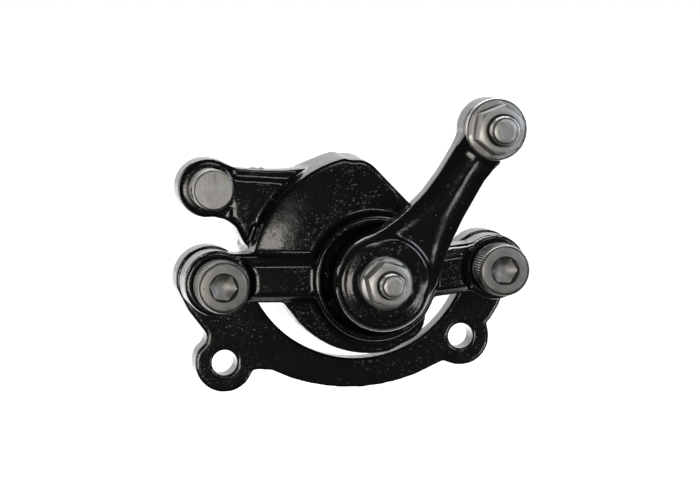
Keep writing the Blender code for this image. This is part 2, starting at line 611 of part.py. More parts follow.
# ---- pads and their adjuster --------------------------------------------------------------------
def make_pads(parts, cutters, finishes):
    plate_back = MOVING_PAD_FRONT + PAD_PLATE_THICKNESS
    moving_plate = rod("moving_pad_plate", PAD_RADIUS, MOVING_PAD_FRONT, plate_back, PIVOT, parts)
    key_x, key_z = around(PIVOT, CHAMBER_RADIUS, KEY_DEGREES)
    cut(moving_plate, rod("key_relief", KEY_RADIUS + 2 * GAP, MOVING_PAD_FRONT - OVERCUT,
                          plate_back + OVERCUT, (key_x, key_z), cutters, SMALL_SEGMENTS))
    finish(moving_plate, finishes["satin_steel"], PIVOT)
    moving_lining = rod("moving_pad_lining", LINING_RADIUS, plate_back + GAP,
                        plate_back + GAP + LINING_THICKNESS - GAP, PIVOT, parts)
    finish(moving_lining, finishes["friction"], PIVOT)
    fixed_lining = rod("fixed_pad_lining", LINING_RADIUS, FIXED_PAD_FRONT,
                       FIXED_PAD_FRONT + LINING_THICKNESS, PIVOT, parts)
    finish(fixed_lining, finishes["friction"])
    plate_front = FIXED_PAD_FRONT + LINING_THICKNESS + GAP
    fixed_plate = rod("fixed_pad_plate", PAD_RADIUS, plate_front, plate_front + PAD_PLATE_THICKNESS,
                      PIVOT, parts)
    finish(fixed_plate, finishes["satin_steel"])
    screw_front = plate_front + PAD_PLATE_THICKNESS + GAP
    adjuster = turned("adjuster_screw", [(0, screw_front), (ADJUSTER_RADIUS - 0.0005, screw_front),
                                         (ADJUSTER_RADIUS, screw_front + 0.0005),
                                         (ADJUSTER_RADIUS, ADJUSTER_TIP - 0.0005),
                                         (ADJUSTER_RADIUS - 0.0005, ADJUSTER_TIP),
                                         (0, ADJUSTER_TIP)], PIVOT, parts)
    cut(adjuster, hexagon_rod("key_cutter", ADJUSTER_KEY_SIZE, ADJUSTER_TIP - ADJUSTER_KEY_DEPTH,
                               ADJUSTER_TIP + OVERCUT, PIVOT,
                              cutters))
    finish(adjuster, finishes["zinc"])
    nut_front = REAR_BACK + GAP
    locknut = hexagon_rod("adjuster_locknut", LOCKNUT_FLATS, nut_front, nut_front + LOCKNUT_THICKNESS,
                          PIVOT, parts, 12)
    cut(locknut, rod("nut_bore", ADJUSTER_RADIUS + GAP, nut_front - OVERCUT,
                     nut_front + LOCKNUT_THICKNESS + OVERCUT, PIVOT, cutters))
    finish(locknut, finishes["zinc"])


# ---- ramp mechanism -----------------------------------------------------------------------------
def ball_groove(name, cutters):
    """A ring of round section that both ramp faces are cut with."""
    steps = 16
    profile = [(BALL_CIRCLE + BALL_GROOVE_RADIUS * math.cos(math.tau * i / steps),
                BALL_LEVEL + BALL_GROOVE_RADIUS * math.sin(math.tau * i / steps))
               for i in range(steps)]
    return turned(name, profile, PIVOT, cutters)


def make_mechanism(parts, cutters, finishes):
    washer_front = CHAMBER_FRONT + GAP
    washer_back = washer_front + THRUST_WASHER_THICKNESS
    washer = ring("thrust_washer", SHAFT_BORE_RADIUS, CAM_FLANGE_RADIUS, washer_front, washer_back,
                  PIVOT, parts)
    finish(washer, finishes["bright_steel"])
    flange_front = washer_back + GAP
    flange_back = flange_front + CAM_FLANGE_THICKNESS
    cam_shaft = turned("cam_shaft", [
        (0, STUD_TIP), (STUD_RADIUS - STUD_CHAMFER, STUD_TIP), (STUD_RADIUS, STUD_TIP + STUD_CHAMFER),
        (STUD_RADIUS, LEVER_FRONT + 0.0020), (SHAFT_RADIUS - GAP, LEVER_FRONT + 0.0020),
        (SHAFT_RADIUS - GAP, flange_front), (CAM_FLANGE_RADIUS, flange_front),
        (CAM_FLANGE_RADIUS, flange_back), (0, flange_back)], PIVOT, parts)
    cut(cam_shaft, ball_groove("flange_groove", cutters))
    finish(cam_shaft, finishes["bright_steel"], PIVOT)
    seal_middle = (SPRING_WELL_FLOOR + CHAMBER_FRONT) / 2
    seal_half = SEAL_GROOVE_WIDTH / 2 - GAP
    seal = ring("shaft_seal", SHAFT_RADIUS, SEAL_GROOVE_RADIUS - GAP, seal_middle - seal_half,
                seal_middle + seal_half, PIVOT, parts)
    finish(seal, finishes["rubber"])
    cage = ring("ball_cage", CAGE_INNER_RADIUS, CAGE_OUTER_RADIUS, BALL_LEVEL - CAGE_THICKNESS / 2,
                BALL_LEVEL + CAGE_THICKNESS / 2, PIVOT, parts)
    places = [around(PIVOT, BALL_CIRCLE, 94 + 360 * i / BALL_COUNT) for i in range(BALL_COUNT)]
    cut(cage, *[rod("ball_hole", BALL_RADIUS + GAP, BALL_LEVEL - 0.002, BALL_LEVEL + 0.002, place,
                    cutters, SMALL_SEGMENTS) for place in places])
    finish(cage, finishes["zinc"], PIVOT)
    for number, (x, z) in enumerate(places, 1):
        bm = bmesh.new()
        bmesh.ops.create_uvsphere(bm, u_segments=16, v_segments=10, radius=BALL_RADIUS)
        bmesh.ops.translate(bm, vec=(x, BALL_LEVEL, z), verts=bm.verts)
        ball = mesh_object("ramp_ball_%d" % number, bm, parts)
        finish(ball, finishes["bright_steel"], PIVOT, smooth=60)
    piston = rod("pusher_piston", PISTON_RADIUS, PISTON_FRONT, PISTON_BACK, PIVOT, parts)
    key_place = around(PIVOT, CHAMBER_RADIUS, KEY_DEGREES)
    key_relief = rod("key_relief", KEY_RADIUS + 2 * GAP, PISTON_FRONT - OVERCUT, PISTON_BACK + OVERCUT,
                     key_place, cutters, SMALL_SEGMENTS)
    cut(piston, ball_groove("piston_groove", cutters), key_relief)
    finish(piston, finishes["zinc"], PIVOT)
    key = rod("piston_key", KEY_RADIUS, KEY_FRONT, KEY_BACK, key_place, parts, SMALL_SEGMENTS)
    finish(key, finishes["bright_steel"])
    radius = PISTON_SEAL_RADIUS
    steps = 8
    profile = [(CHAMBER_RADIUS + radius + radius * math.cos(math.tau * i / steps),
                SEAL_MIDDLE + radius * math.sin(math.tau * i / steps)) for i in range(steps)]
    piston_seal = turned("piston_seal", profile, PIVOT, parts)
    cut(piston_seal, rod("key_relief", KEY_RADIUS + 2 * GAP, SEAL_MIDDLE - KEY_RELIEF_REACH,
                          SEAL_MIDDLE + KEY_RELIEF_REACH, key_place, cutters,
                         SMALL_SEGMENTS))
    finish(piston_seal, finishes["rubber"])


# ---- lever --------------------------------------------------------------------------------------
def lever_point(along, across):
    """A point of the lever's plan: along runs from the pivot to the clamp, across to its left."""
    ahead = Vector((math.cos(LEVER_ANGLE), math.sin(LEVER_ANGLE)))
    left = Vector((-math.sin(LEVER_ANGLE), math.cos(LEVER_ANGLE)))
    place = Vector(PIVOT) + ahead * along + left * across
    return (place.x, place.y)


def arm_half_widths():
    """Half widths of the lever's arm, left and right, at stations along it."""
    return [(0.0030, 0.0110, 0.0114), (0.0070, 0.0096, 0.0112), (0.0105, 0.0078, 0.0100),
            (0.0146, 0.0063, 0.0088), (0.0188, 0.0053, 0.0079), (0.0240, 0.0044, 0.0071),
            (0.0298, 0.0044, 0.0066), (0.0345, 0.0047, 0.0061), (0.0379, 0.0050, 0.0062),
            (0.0405, 0.0055, 0.0067)]


def make_lever(parts, cutters, finishes):
    stations = arm_half_widths()
    outline = ([lever_point(along, -right) for along, left, right in stations]
               + [lever_point(along, left) for along, left, right in reversed(stations)])
    arm = plate("lever_arm", outline, LEVER_FRONT + 0.0006, LEVER_ARM_BACK - 0.0003, parts)
    hub = turned("hub", [(0, LEVER_FRONT), (HUB_RADIUS - 0.0012, LEVER_FRONT),
                         (HUB_RADIUS, LEVER_FRONT + 0.0012), (HUB_RADIUS, LEVER_BACK),
                         (0, LEVER_BACK)], PIVOT, parts, 48)
    boss = turned("boss", [(0, LEVER_FRONT), (LEVER_BOSS_RADIUS - 0.0008, LEVER_FRONT),
                           (LEVER_BOSS_RADIUS, LEVER_FRONT + 0.0008),
                           (LEVER_BOSS_RADIUS, LEVER_ARM_BACK), (0, LEVER_ARM_BACK)], CLAMP, parts)
    join(arm, hub, boss, solver="MANIFOLD")
    shaft_bore = rod("shaft_bore", SHAFT_RADIUS, LEVER_FRONT + 0.0017, LEVER_BACK + OVERCUT, PIVOT,
                     cutters)
    stud_bore = rod("stud_bore", STUD_RADIUS + GAP, LEVER_FRONT - OVERCUT, LEVER_FRONT + 0.003, PIVOT,
                    cutters)
    clamp_bore = rod("clamp_bore", CLAMP_RADIUS + GAP, LEVER_FRONT - OVERCUT, LEVER_ARM_BACK + OVERCUT,
                     CLAMP, cutters, SMALL_SEGMENTS)
    spring_hole = rod("spring_hole", SPRING_WIRE_RADIUS + GAP, LEVER_BACK - 0.0016,
                      LEVER_BACK + OVERCUT, around(PIVOT, SPRING_COIL_RADIUS, SPRING_FRONT_DEGREES),
                      cutters, 12)
    cut(arm, shaft_bore, stud_bore, clamp_bore, spring_hole, solver="MANIFOLD")
    finish(arm, finishes["gloss_black"], PIVOT)


def flange_nut(name, centre, back, flats, height, flange_radius, flange_thickness, bore_radius, parts,
               cutters, turn):
    """A hexagon nut with a round flange, facing -Y, its seat at Y = back."""
    front = back - height
    flange = turned(name, [(0, back - flange_thickness - 0.0006),
                           (flats / 2, back - flange_thickness - 0.0006),
                           (flange_radius, back - flange_thickness * 0.55),
                           (flange_radius, back), (0, back)], centre, parts)
    hexagon = hexagon_rod("hexagon", flats, front, back - 0.0004, centre, parts, turn)
    corner = flats / math.sqrt(3)
    crown = turned("crown", [(0, front - OVERCUT), (flats / 2 - 0.0002, front - OVERCUT),
                             (flats / 2 - 0.0002, front), (corner + 0.0004, front + 0.0010),
                             (corner + 0.0004, back), (0, back)], centre, cutters)
    combine(hexagon, [crown], "INTERSECT")
    join(flange, hexagon)
    return cut(flange, rod("nut_bore", bore_radius, front - OVERCUT, back + OVERCUT, centre, cutters,
                           SMALL_SEGMENTS))


def make_lever_fasteners(parts, cutters, finishes):
    seat = LEVER_FRONT - GAP
    pivot_nut = flange_nut("pivot_nut", PIVOT, seat, PIVOT_NUT_FLATS, PIVOT_NUT_HEIGHT,
                           PIVOT_NUT_FLANGE_RADIUS, PIVOT_NUT_FLANGE_THICKNESS, STUD_RADIUS + GAP,
                           parts, cutters, 12)
    finish(pivot_nut, finishes["zinc"], PIVOT)
    clamp_nut = flange_nut("clamp_nut", CLAMP, seat, CLAMP_NUT_FLATS, CLAMP_NUT_HEIGHT,
                           CLAMP_NUT_FLANGE_RADIUS, CLAMP_NUT_FLANGE_THICKNESS, CLAMP_RADIUS + GAP,
                           parts, cutters, 40)
    finish(clamp_nut, finishes["zinc"], PIVOT)
    washer_front = LEVER_ARM_BACK + GAP
    washer_back = washer_front + CLAMP_WASHER_THICKNESS
    washer = ring("clamp_washer", CLAMP_RADIUS + GAP, CLAMP_WASHER_RADIUS,
                  washer_front, washer_back, CLAMP, parts,
                  32)
    finish(washer, finishes["zinc"], PIVOT)
    head_front = washer_back + GAP
    head_back = head_front + CLAMP_HEAD_HEIGHT
    bolt = hexagon_rod("clamp_bolt", CLAMP_HEAD_FLATS, head_front, head_back, CLAMP, parts, 20)
    shank = turned("shank", [(0, CLAMP_TIP), (CLAMP_RADIUS - STUD_CHAMFER, CLAMP_TIP),
                             (CLAMP_RADIUS, CLAMP_TIP + STUD_CHAMFER),
                             (CLAMP_RADIUS, head_front + 0.0005),
                             (0, head_front + 0.0005)], CLAMP, parts, SMALL_SEGMENTS)
    join(bolt, shank)
    middle = (head_front + head_back) / 2
    x, z = CLAMP
    reach = CLAMP_HEAD_FLATS
    cable_hole = cross_rod("cable_hole", CABLE_HOLE_RADIUS, (x - reach, middle, z - reach * 0.18),
                           (x + reach, middle, z + reach * 0.18), cutters, 16)
    finish(cut(bolt, cable_hole), finishes["zinc"], PIVOT)


# ---- cable stop and return spring ---------------------------------------------------------------
def make_cable_stop(parts, cutters, finishes):
    radius = STOP_PIN_RADIUS
    shoulder = STOP_BOSS_FRONT - GAP
    groove_back = STOP_SHANK_BACK - 0.0009
    groove_front = groove_back - CLIP_THICKNESS - GAP
    pin = turned("cable_stop_pin", [
        (0, STOP_PIN_FRONT), (radius - 0.0004, STOP_PIN_FRONT), (radius, STOP_PIN_FRONT + 0.0004),
        (radius, shoulder), (STOP_SHANK_RADIUS, shoulder), (STOP_SHANK_RADIUS, groove_front),
        (STOP_GROOVE_RADIUS, groove_front), (STOP_GROOVE_RADIUS, groove_back),
        (STOP_SHANK_RADIUS, groove_back), (STOP_SHANK_RADIUS, STOP_SHANK_BACK),
        (0, STOP_SHANK_BACK)], STOP_PIN, parts)
    x, z = STOP_PIN
    middle = (STOP_PIN_FRONT + shoulder) / 2
    slope = math.atan2(CLAMP[1] - z, CLAMP[0] - x)
    reach = 2 * radius
    cable_hole = cross_rod("cable_hole", STOP_CABLE_HOLE_RADIUS,
                           (x - reach * math.cos(slope), middle, z - reach * math.sin(slope)),
                           (x + reach * math.cos(slope), middle, z + reach * math.sin(slope)), cutters)
    finish(cut(pin, cable_hole), finishes["zinc"], STOP_PIN)
    clip_front = groove_front + GAP / 2
    clip = ring("stop_pin_clip", STOP_GROOVE_RADIUS + GAP, CLIP_RADIUS, clip_front,
                clip_front + CLIP_THICKNESS, STOP_PIN, parts, 32)
    mouth = STOP_GROOVE_RADIUS * 0.8
    cut(clip, block("mouth", (x - mouth, clip_front - OVERCUT, z - 2 * CLIP_RADIUS),
                    (x + mouth, clip_front + 0.002, z), cutters))
    finish(clip, finishes["satin_steel"], STOP_PIN)


def make_return_spring(parts, finishes):
    """A torsion spring: a coil with one leg into the housing and one into the lever."""
    curve = bpy.data.curves.new("return_spring", "CURVE")
    curve.dimensions = "3D"
    curve.bevel_depth = SPRING_WIRE_RADIUS
    curve.bevel_resolution = 2
    curve.use_fill_caps = True
    turns = (SPRING_FRONT_DEGREES - SPRING_BACK_DEGREES) / 360
    steps = math.ceil(turns * 30)
    coil = []
    for i in range(steps + 1):
        share = i / steps
        x, z = around(PIVOT, SPRING_COIL_RADIUS,
                      SPRING_BACK_DEGREES + (SPRING_FRONT_DEGREES - SPRING_BACK_DEGREES) * share)
        coil.append((x, SPRING_BACK + (SPRING_FRONT - SPRING_BACK) * share, z))
    points = coil
    spline = curve.splines.new("POLY")
    spline.points.add(len(points) - 1)
    for point, place in zip(spline.points, points):
        point.co = (*place, 1.0)
    source = bpy.data.objects.new("spring_wire", curve)
    parts.objects.link(source)
    bpy.context.view_layer.update()
    mesh = bpy.data.meshes.new_from_object(
        source.evaluated_get(bpy.context.evaluated_depsgraph_get()))
    bpy.data.objects.remove(source, do_unlink=True)
    bpy.data.curves.remove(curve)
    bm = bmesh.new()
    bm.from_mesh(mesh)
    bpy.data.meshes.remove(mesh)
    spring = mesh_object("return_spring", bm, parts)
    finish(spring, finishes["bright_steel"], PIVOT)


def build():
    clear_scene()
    parts = new_collection("brake_caliper")
    cutters = new_collection("cutters")
    finishes = {name: make_material(name, *values) for name, values in FINISHES.items()}
    make_bracket(parts, cutters, finishes)
    make_guides(parts, cutters, finishes)
    make_front_housing(parts, cutters, finishes)
    make_rear_housing(parts, cutters, finishes)
    make_body_screws(parts, cutters, finishes)
    make_pads(parts, cutters, finishes)
    make_mechanism(parts, cutters, finishes)
    make_lever(parts, cutters, finishes)
    make_lever_fasteners(parts, cutters, finishes)
    make_cable_stop(parts, cutters, finishes)
    make_return_spring(parts, finishes)


build()
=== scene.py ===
"""Visual model of a cable-operated disc brake caliper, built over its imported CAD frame."""
import json
import math

import bmesh
import bpy
from bpy.props import FloatProperty, FloatVectorProperty, IntProperty, PointerProperty
from mathutils import Matrix, Vector, kdtree, noise


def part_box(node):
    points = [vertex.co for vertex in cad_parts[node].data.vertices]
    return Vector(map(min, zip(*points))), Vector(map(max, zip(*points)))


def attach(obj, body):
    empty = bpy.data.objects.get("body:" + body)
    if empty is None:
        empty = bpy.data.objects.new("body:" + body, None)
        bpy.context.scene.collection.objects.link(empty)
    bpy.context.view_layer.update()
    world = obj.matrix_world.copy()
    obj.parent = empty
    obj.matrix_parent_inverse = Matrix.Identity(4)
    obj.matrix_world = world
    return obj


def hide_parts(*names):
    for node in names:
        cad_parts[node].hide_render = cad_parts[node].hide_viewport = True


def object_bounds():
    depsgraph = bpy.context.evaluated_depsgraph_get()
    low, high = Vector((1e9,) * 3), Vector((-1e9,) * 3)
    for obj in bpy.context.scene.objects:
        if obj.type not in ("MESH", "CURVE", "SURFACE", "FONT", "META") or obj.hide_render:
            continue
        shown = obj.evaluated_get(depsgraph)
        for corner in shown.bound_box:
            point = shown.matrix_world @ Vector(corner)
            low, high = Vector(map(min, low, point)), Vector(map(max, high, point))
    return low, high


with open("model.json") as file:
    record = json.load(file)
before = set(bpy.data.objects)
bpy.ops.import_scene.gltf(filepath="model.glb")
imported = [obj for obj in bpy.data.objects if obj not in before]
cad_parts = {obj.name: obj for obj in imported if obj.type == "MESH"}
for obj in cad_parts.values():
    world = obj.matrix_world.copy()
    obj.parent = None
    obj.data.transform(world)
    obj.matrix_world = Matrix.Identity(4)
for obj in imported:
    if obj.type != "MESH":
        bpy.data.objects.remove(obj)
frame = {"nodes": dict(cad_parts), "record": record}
CAD_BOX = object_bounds()

bl_info = {
    "name": "Disc Brake Caliper",
    "version": (1, 0, 0),
    "blender": (4, 5, 0),
    "location": "3D View > Sidebar > Caliper",
    "description": "Builds the castings, fasteners and finishes of a cable disc brake caliper",
    "category": "Object",
}

POLE = 1e-6                  # radius that stands for a turned piece's middle until it is merged
HALF_SIDE = math.pi / 6       # half of the angle that one side of a hexagon takes up
WELD = 1e-6                  # vertices this close together are one
CAMERA_DEGREES = (-11.178, 5.285, -2.369)    # azimuth, elevation and roll
CAMERA_AIM = (-0.00074, -0.015, 0.03202)
SENSOR_WIDTH = 36.0          # millimetres
LIGHT_AIM = (0.0, -0.015, 0.03)
FLOOR_HALF = 6.0
FLOOR_START = 0.15           # where the floor begins, behind the caliper
DOME_STEP = 0.0040           # from the front housing's foremost face back to its dome's face
ARM_STEP = 0.0108            # from there back to the front of the cable stop's arm
DRUM_REACH = 0.0165
KNURL_DEPTH = 0.00045
LEVER_DEPTH = 0.0085         # how far back the lever's rounding fades out


# ---- places from the frame -----------------------------------------------------------------------
class Place:
    """Where a round node stands: its middle in XZ, its front and back in Y, and its half width."""

    def __init__(self, node):
        low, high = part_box(node)
        self.middle = ((low[0] + high[0]) / 2, (low[2] + high[2]) / 2)
        self.front = low[1]
        self.back = high[1]
        self.radius = (high[0] - low[0]) / 2


def body_of_node(node):
    """The name of the body that carries a node."""
    for body, nodes in frame["record"]["behaviour"]["bodies"].items():
        if node in nodes:
            return body
    raise RuntimeError("no body holds " + node)


# ---- mesh tools ----------------------------------------------------------------------------------
def node_mesh(node):
    """The node's mesh as a bmesh with its loose triangles merged."""
    bm = bmesh.new()
    bm.from_mesh(frame["nodes"][node].data)
    bmesh.ops.remove_doubles(bm, verts=bm.verts, dist=WELD)
    return bm


def drop_piece(name):
    old = bpy.data.objects.get(name)
    if old is not None:
        bpy.data.objects.remove(old, do_unlink=True)


def add_piece(name, bm, node, material, sharp=35.0):
    """Makes the finished object, which takes the node's place and rides on its body."""
    drop_piece(name)
    mesh = bpy.data.meshes.new(name)
    bm.to_mesh(mesh)
    bm.free()
    mesh.shade_smooth()
    mesh.set_sharp_from_angle(angle=math.radians(sharp))
    mesh.materials.append(material)
    piece = bpy.data.objects.new(name, mesh)
    bpy.context.scene.collection.objects.link(piece)
    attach(piece, body_of_node(node))
    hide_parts(node)
    return piece


def hexagonal(flats, turn=0.0):
    """A hexagon's reach at an angle, from its width across the flats."""
    side = 2 * HALF_SIDE
    return lambda angle: flats / 2 / math.cos((angle - turn + HALF_SIDE) % side - HALF_SIDE)


def knurled(radius, teeth, depth):
    """A straight knurl's reach at an angle: sharp teeth with straight flanks."""
    return lambda angle: radius - depth * abs(2 * (angle * teeth / math.tau % 1) - 1)


def level_ring(bm, verts, reach, level):
    """Sets a ring of vertices at a reach and a level that may each change with the angle."""
    for vert in verts:
        angle = math.atan2(vert.co.z, vert.co.x)
        radius = reach(angle) if callable(reach) else reach
        y = level(angle) if callable(level) else level
        vert.co = (radius * math.cos(angle), y, radius * math.sin(angle))


def turned(levels, segments, middle=(0.0, 0.0)):
    """A turned solid from its levels, (reach, y), front middle first and back middle last."""
    bm = bmesh.new()
    bmesh.ops.create_circle(bm, cap_ends=False, radius=1.0, segments=segments)
    bmesh.ops.rotate(bm, verts=bm.verts, matrix=Matrix.Rotation(math.pi / 2, 3, "X"))
    level_ring(bm, list(bm.verts), *levels[0])
    edges = list(bm.edges)
    for reach, level in levels[1:]:
        pushed = bmesh.ops.extrude_edge_only(bm, edges=edges)["geom"]
        verts = {item for item in pushed if isinstance(item, bmesh.types.BMVert)}
        edges = [item for item in pushed if isinstance(item, bmesh.types.BMEdge)
                 and item.verts[0] in verts and item.verts[1] in verts]
        level_ring(bm, verts, reach, level)
    bmesh.ops.remove_doubles(bm, verts=bm.verts, dist=POLE * 3)
    bmesh.ops.recalc_face_normals(bm, faces=bm.faces)
    bmesh.ops.translate(bm, verts=bm.verts, vec=(middle[0], 0, middle[1]))
    return bm


def thread_levels(radius, tip, start, pitch, depth):
    """A thread's crests and roots from the tip's chamfer back to its start."""
    chamfer = depth * 1.1
    levels = [(POLE, tip), (radius * 0.45, tip), (radius - chamfer - 0.0001, tip),
              (radius - chamfer, tip + 0.00005), (radius - depth * 0.1, tip + chamfer)]
    y = tip + chamfer + pitch * 0.15
    while y + pitch < start:
        levels += [(radius, y), (radius, y + pitch * 0.2), (radius - depth, y + pitch * 0.5),
                   (radius - depth, y + pitch * 0.65)]
        y += pitch
    return levels + [(radius, y), (radius, start), (POLE, start)]


def merged(first, second):
    """Adds the second bmesh to the first."""
    mesh = bpy.data.meshes.new("part")
    second.to_mesh(mesh)
    second.free()
    first.from_mesh(mesh)
    bpy.data.meshes.remove(mesh)
    return first


def remeshed(bm, voxel):
    """One closed skin round every shell of a bmesh, with even small faces."""
    mesh = bpy.data.meshes.new("skin")
    bm.to_mesh(mesh)
    bm.free()
    holder = bpy.data.objects.new("skin", mesh)
    bpy.context.scene.collection.objects.link(holder)
    modifier = holder.modifiers.new("skin", "REMESH")
    modifier.mode = "VOXEL"
    modifier.voxel_size = voxel
    bpy.context.view_layer.update()
    evaluated = holder.evaluated_get(bpy.context.evaluated_depsgraph_get())
    skin = bpy.data.meshes.new_from_object(evaluated)
    bpy.data.objects.remove(holder, do_unlink=True)
    bpy.data.meshes.remove(mesh)
    result = bmesh.new()
    result.from_mesh(skin)
    bpy.data.meshes.remove(skin)
    return result


def soften(bm, rounds):
    """Rounds edges and fills corners."""
    for _ in range(rounds):
        bmesh.ops.smooth_vert(bm, verts=bm.verts, factor=0.5, use_axis_x=True, use_axis_y=True,
                              use_axis_z=True)


def ripple(bm, amount, size):
    """The slow waviness of a hand-finished casting."""
    bm.normal_update()
    moves = [(vert, vert.normal * noise.noise(vert.co / size) * amount) for vert in bm.verts]
    for vert, move in moves:
        vert.co += move


def casting(node, voxel, rounds, ripple_amount, extras=()):
    """A cast copy of a node: its shells joined, its edges rounded and its faces a little wavy."""
    bm = node_mesh(node)
    for extra in extras:
        merged(bm, extra)
    bm = remeshed(bm, voxel)
    soften(bm, rounds)
    ripple(bm, ripple_amount, 0.009)
    return bm


def slab(points, front, back):
    """A flat outline in XZ pushed from front to back."""
    bm = bmesh.new()
    face = bm.faces.new([bm.verts.new((x, front, z)) for x, z in points])
    pushed = bmesh.ops.extrude_face_region(bm, geom=[face])["geom"]
    verts = [item for item in pushed if isinstance(item, bmesh.types.BMVert)]
    bmesh.ops.translate(bm, verts=verts, vec=(0, back - front, 0))
    bmesh.ops.recalc_face_normals(bm, faces=bm.faces)
    return bm


def lump(x, y, z, size, stretch):
    """A small flash remnant left on a casting's edge."""
    bm = bmesh.new()
    bmesh.ops.create_icosphere(bm, subdivisions=2, radius=size)
    bmesh.ops.scale(bm, verts=bm.verts, vec=stretch)
    bmesh.ops.translate(bm, verts=bm.verts, vec=(x, y, z))
    return bm


def eased(node, width, segments, material, levels=0):
    """A close copy of a node with its edges eased by a bevel, or rounded by subdivision."""
    bm = node_mesh(node)
    bmesh.ops.dissolve_limit(bm, angle_limit=math.radians(0.6), verts=bm.verts, edges=bm.edges)
    piece = add_piece(node + "_body", bm, node, material, 30.0)
    if width:
        modifier = piece.modifiers.new("eased_edges", "BEVEL")
        modifier.width = width
        modifier.segments = segments
        modifier.limit_method = "ANGLE"
        modifier.angle_limit = math.radians(38)
        modifier.harden_normals = True
    if levels:
        modifier = piece.modifiers.new("rounding", "SUBSURF")
        modifier.levels = levels
        modifier.render_levels = levels
    return piece


# ---- finishes ------------------------------------------------------------------------------------
class Amount:
    """A number in a finish. Python sums on it add Math nodes."""

    def __init__(self, finish, socket):
        self.finish = finish
        self.socket = socket

    def sum(self, operation, first, second):
        made = self.finish.node("ShaderNodeMath", {"operation": operation}, {0: first, 1: second})
        return Amount(self.finish, made.outputs["Value"])

    def __add__(self, other):
        return self.sum("ADD", self, other)

    def __radd__(self, other):
        return self.sum("ADD", other, self)

    def __sub__(self, other):
        return self.sum("SUBTRACT", self, other)

    def __rsub__(self, other):
        return self.sum("SUBTRACT", other, self)

    def __mul__(self, other):
        return self.sum("MULTIPLY", self, other)

    def __rmul__(self, other):
        return self.sum("MULTIPLY", other, self)

    def between(self, low, high):
        """0 below low, 1 above high and smooth between."""
        made = self.finish.node("ShaderNodeMapRange", {"interpolation_type": "SMOOTHSTEP"},
                                {"Value": self, "From Min": low, "From Max": high})
        return Amount(self.finish, made.outputs["Result"])


class Finish:
    """A material under way, with one method that adds a node."""

    def __init__(self, name, roughness, metallic):
        old = bpy.data.materials.get(name)
        if old is not None:
            bpy.data.materials.remove(old)
        self.material = bpy.data.materials.new(name)
        self.material.use_nodes = True
        self.tree = self.material.node_tree
        self.shader = self.tree.nodes["Principled BSDF"]
        self.shader.inputs["Roughness"].default_value = roughness
        self.shader.inputs["Metallic"].default_value = metallic
        self.place = self.node("ShaderNodeTexCoord").outputs["Object"]

    def node(self, kind, settings=None, values=None):
        made = self.tree.nodes.new(kind)
        for name, value in (settings or {}).items():
            if name == "stops":
                ramp = made.color_ramp
                ramp.elements[0].position, ramp.elements[0].color = value[0]
                ramp.elements[1].position, ramp.elements[1].color = value[-1]
                for position, colour in value[1:-1]:
                    ramp.elements.new(position).color = colour
            else:
                setattr(made, name, value)
        for name, value in (values or {}).items():
            self.feed(made.inputs[name], value)
        return made

    def feed(self, socket, value):
        if isinstance(value, Amount):
            self.tree.links.new(value.socket, socket)
        elif isinstance(value, bpy.types.NodeSocket):
            self.tree.links.new(value, socket)
        else:
            socket.default_value = value

    def noise(self, scale, detail=2.0, place=None, rough=0.5):
        made = self.node("ShaderNodeTexNoise", None,
                         {"Vector": place or self.place, "Scale": scale, "Detail": detail,
                          "Roughness": rough})
        return Amount(self, made.outputs["Fac"])

    def spots(self, scale, reach):
        """1 in the middle of scattered spots, 0 outside their reach."""
        made = self.node("ShaderNodeTexVoronoi", {"feature": "F1"},
                         {"Vector": self.place, "Scale": scale, "Randomness": 1.0})
        return 1.0 - Amount(self, made.outputs["Distance"]).between(reach * 0.4, reach)

    def colour(self, first, second, factor):
        made = self.node("ShaderNodeMix", {"data_type": "RGBA"},
                         {0: factor, 6: (*first, 1.0) if isinstance(first, tuple) else first,
                          7: (*second, 1.0)})
        return made.outputs[2]

    def centred(self, middle, scale=(1.0, 1.0, 1.0)):
        """Coordinates whose middle is a piece's own axis."""
        moved = self.node("ShaderNodeVectorMath", {"operation": "SUBTRACT"},
                          {0: self.place, 1: (middle[0], 0.0, middle[1])}).outputs[0]
        return self.node("ShaderNodeVectorMath", {"operation": "MULTIPLY"},
                         {0: moved, 1: scale}).outputs[0]

    def reach(self, middle):
        """Distance from a piece's own axis."""
        flat = self.centred(middle, (1.0, 0.0, 1.0))
        made = self.node("ShaderNodeVectorMath", {"operation": "LENGTH"}, {0: flat})
        return Amount(self, made.outputs["Value"])

    def bump(self, height, distance, strength=1.0):
        made = self.node("ShaderNodeBump", None,
                         {"Height": height, "Distance": distance, "Strength": strength})
        self.feed(self.shader.inputs["Normal"], made.outputs["Normal"])

    def set(self, name, value):
        self.feed(self.shader.inputs[name], value)


def cast_paint(name, pits, settings):
    """Gloss black paint over a rough casting: orange peel, pits and a little dust."""
    finish = Finish(name, 0.2, 0.0)
    peel = finish.noise(430.0, 2.0)
    grain = finish.noise(2300.0, 3.0)
    patches = finish.noise(95.0, 2.0).between(0.44, 0.62)
    deep = finish.spots(780.0, 0.30) * patches * pits
    fine = finish.spots(1500.0, 0.33) * finish.noise(160.0).between(0.46, 0.6) * pits
    dust = finish.spots(430.0, 0.085) * finish.noise(60.0, 1.0).between(0.42, 0.62)
    finish.bump(peel * 0.55 + grain * 0.22 - deep * 0.9 - fine * 0.4, 0.00011, 0.75)
    black = tuple(settings.paint_colour)
    base = finish.colour(black, (0.010, 0.010, 0.0095), finish.noise(140.0, 3.0))
    finish.set("Base Color", finish.colour(base, (0.26, 0.25, 0.235), dust * 0.8))
    finish.set("Roughness", settings.paint_roughness + grain * 0.10 + dust * 0.3 + deep * 0.1)
    finish.shader.inputs["Coat Weight"].default_value = 0.35
    finish.shader.inputs["Coat Roughness"].default_value = 0.07
    finish.shader.inputs["Specular IOR Level"].default_value = 0.5
    return finish.material


